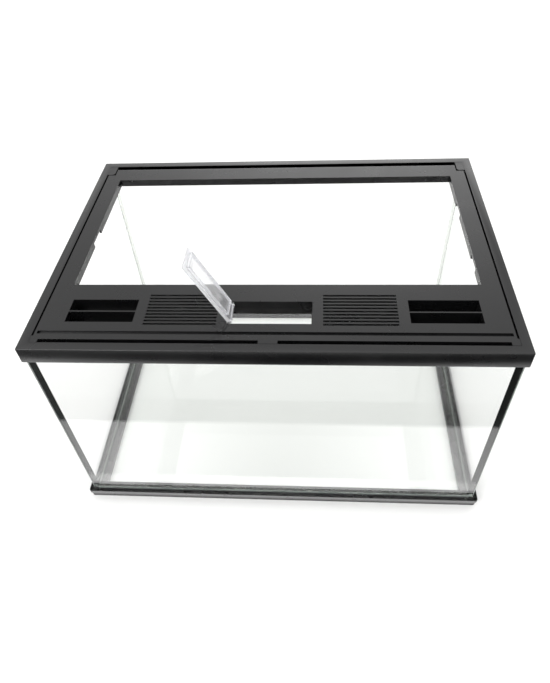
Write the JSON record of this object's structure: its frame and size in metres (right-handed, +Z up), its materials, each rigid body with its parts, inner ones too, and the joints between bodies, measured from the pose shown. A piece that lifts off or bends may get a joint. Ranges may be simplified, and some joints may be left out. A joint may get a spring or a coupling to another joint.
{
  "type": "glass hamster cage",
  "caption": "Rectangular glass hamster cage with black moulded base and top frames, a hinged lid panel with vents and finger grips, and a clear feed flap.",
  "frame": {"origin": "on the floor, at the middle of the base frame's footprint", "axes": "+Z up, +X to the right and +Y to the back, seen from the feed deck's side"},
  "size_m": [0.606, 0.432, 0.4324],
  "materials": {
    "black_plastic": "moulded satin black ABS",
    "clear_glass": "clear float glass with ground edges",
    "clear_plastic": "clear moulded polystyrene",
    "black_silicone": "tooled black silicone",
    "clear_silicone": "tooled clear silicone",
    "steel": "drawn steel pin"
  },
  "bodies": {
    "tank": {"base_frame": "black_plastic", "bed_base": "clear_silicone", "bed_top": "clear_silicone", "glass_front": "clear_glass", "glass_back": "clear_glass", "glass_left": "clear_glass", "glass_right": "clear_glass", "glass_bottom": "clear_glass", "seam_front_left": "black_silicone", "seam_front_right": "black_silicone", "seam_back_left": "clear_silicone", "seam_back_right": "clear_silicone", "seam_floor": "clear_silicone", "top_frame": "black_plastic", "lid_pin_left": "steel", "lid_pin_right": "steel"},
    "lid": {"lid_panel": "black_plastic", "flap_pin": "steel"},
    "flap": {"feed_flap": "clear_plastic"}
  },
  "joints": [
    {"name": "lid_hinge", "type": "hinge", "parent": "tank", "child": "lid", "pos_m": [0, 0.189, 0.339], "axis": [-1, 0, 0], "range_deg": [0, 110]},
    {"name": "flap_hinge", "type": "hinge", "parent": "lid", "child": "flap", "pos_m": [-0.0475, -0.1485, 0.3444], "axis": [0, 1, 0], "range_deg": [0, 116.5]}
  ]
}
